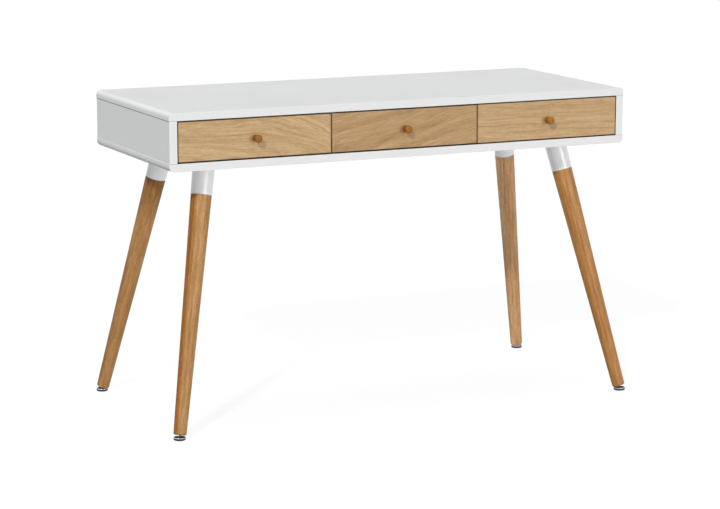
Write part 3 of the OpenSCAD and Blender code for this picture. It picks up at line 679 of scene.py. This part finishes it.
# The back left leg gets a painted shade under its collar, with a ragged edge at these distances in
# metres
shadow_end, shadow_full, shadow_strength = 0.150, 0.075, 0.75
shadow_grain, shadow_scale, shadow_ragged = (1.0, 1.0, 0.25), 90.0, 0.10
shadow_tone = (0.52, 0.46, 0.34)
leg_painted_light, given, out = new_group(
    "leg_painted_light",
    [("Color", "Color", (0.5, 0.3, 0.1, 1)), ("Left Tone", "Vector", None),
     ("Knots", "Float", 0.0), ("Knot Place", "Vector", None)],
    [("Color", "Color")])
leftwards = xyz(leg_painted_light, surface_facing(leg_painted_light))["X"]
leftwards = remapped(leg_painted_light, leftwards, left_start, left_full)
left_shade_and_sheen = vector_node(leg_painted_light, "MULTIPLY", given["Color"], given["Left Tone"])
left_shade_and_sheen = mixed(leg_painted_light, leftwards, given["Color"], left_shade_and_sheen)
away = vector_node(leg_painted_light, "SUBTRACT", surface_place(leg_painted_light), given["Knot Place"])
ragged = noise(leg_painted_light, vector_node(leg_painted_light, "MULTIPLY", away, shadow_grain), shadow_scale, 3.0)
ragged = math_node(leg_painted_light, "MULTIPLY", ragged, shadow_ragged)
far = math_node(leg_painted_light, "ADD", vector_node(leg_painted_light, "LENGTH", away), ragged)
near = remapped(leg_painted_light, far, shadow_end, shadow_full, 0.0, shadow_strength)
near = math_node(leg_painted_light, "MULTIPLY", near, given["Knots"])
shadowed = vector_node(leg_painted_light, "MULTIPLY", left_shade_and_sheen, shadow_tone)
leg_painted_light.links.new(mixed(leg_painted_light, near, left_shade_and_sheen, shadowed), out["Color"])

# Each leg's tone beside the plain turned oak, the painted light on its left side, and how much
# painted shade it has under its collar
leg_woods = ((0.605, 0.315, 0.116), (0.365, 0.162, 0.042), (0.18, 0.068, 0.016))
legs = {("front", "left"): ((1.05, 1.12, 1.27), (0.72, 0.50, 0.18), 0.0),
        ("front", "right"): ((1.0, 0.975, 1.02), (0.98, 0.91, 0.67), 0.0),
        ("back", "left"): ((0.93, 0.97, 1.06), (1.0, 1.0, 1.0), 1.0),
        ("back", "right"): ((1.28, 1.47, 2.02), (1.40, 1.50, 1.75), 0.0)}
leg_gloss = 0.42
# Each leg was cut a little further from the log's heart than the one before. The middle of the
# painted shade lies this far under the collar. All three are in metres.
nearest_heart, heart_step = 0.035, 0.004
shadow_below_collar = 0.012
for number, (y, x) in enumerate(corners):
    foot, down, foot_to_collar = leg_line(y, x)
    tone, left_light_tone, shadow_share = legs[y, x]
    to_grain = down.rotation_difference(Vector((1, 0, 0))).to_euler()
    figure = {"Ring Width": 0.0048, "Heart Depth": nearest_heart + heart_step * number,
              "Heart Lean": 0.02, "Wander": 0.012, "Ring Contrast": 0.5, "Cloud Contrast": 0.9,
              "Streak Contrast": 0.65, "Fibre Contrast": 0.5}
    leg_oak = oak_material(f"leg_oak_{y}_{x}", foot, to_grain, toned(tone, leg_woods), leg_gloss,
                           figure, Specular_IOR_Level=0.12)
    # Painted light on the leg's left side, and the back left leg's painted shade under its collar
    over_color(leg_oak, leg_painted_light, Left_Tone=left_light_tone, Knots=shadow_share,
               Knot_Place=foot - down * (foot_to_collar - shadow_below_collar))
    finish_node(f"{y}_{x}_leg", leg_oak)


# ---- Levelling feet ----
# A moulded black pad with a bright steel ring pressed round it turns on the ball of a threaded
# stem, which screws into the end of the leg.

# The ring's rim is burnished bright; its wall and the stem inside are dark, partly blackened and
# partly painted shade under the leg. One foot's place serves all four, since the desk is the same
# on both sides. The reach and the height are in metres.
blackened_and_shaded = (0.075, 0.076, 0.080, 1)
rim_blend = 0.0004
burnish, given, out = new_group(
    "burnished_rim",
    [("Color", "Color", (0.7, 0.7, 0.7, 1)), ("Foot Place", "Vector", None),
     ("Stem Reach", "Float", 0.009), ("Rim Height", "Float", 0.0052)],
    [("Color", "Color")])
place = vector_node(burnish, "ABSOLUTE", surface_place(burnish))
away = vector_node(burnish, "SUBTRACT", place, given["Foot Place"])
far = vector_node(burnish, "LENGTH", vector_node(burnish, "MULTIPLY", away, (1, 1, 0)))
outside = math_node(burnish, "GREATER_THAN", far, given["Stem Reach"])
low_edge = math_node(burnish, "SUBTRACT", given["Rim Height"], rim_blend)
high_edge = math_node(burnish, "ADD", given["Rim Height"], rim_blend)
raised = remapped(burnish, xyz(burnish, place)["Z"], low_edge, high_edge)
bright = math_node(burnish, "MULTIPLY", outside, raised)
burnish.links.new(mixed(burnish, bright, blackened_and_shaded, given["Color"]), out["Color"])

steel = metal("foot_steel", (0.58, 0.59, 0.61), (0.46, 0.47, 0.49), 0.20)
foot_low, foot_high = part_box("back_right_foot_pad")
over_color(steel, burnish, Foot_Place=(foot_low + foot_high) / 2)
black_plastic = sprayed("black_plastic", (0.016, 0.016, 0.018), (0.04, 0.04, 0.04), 0.5,
                        peel_size=0.0006, peel_height=0.00003, Specular_IOR_Level=0.25)
for y, x in corners:
    finish_node(f"{y}_{x}_foot_stem", steel)
    finish_node(f"{y}_{x}_foot_pad", black_plastic)
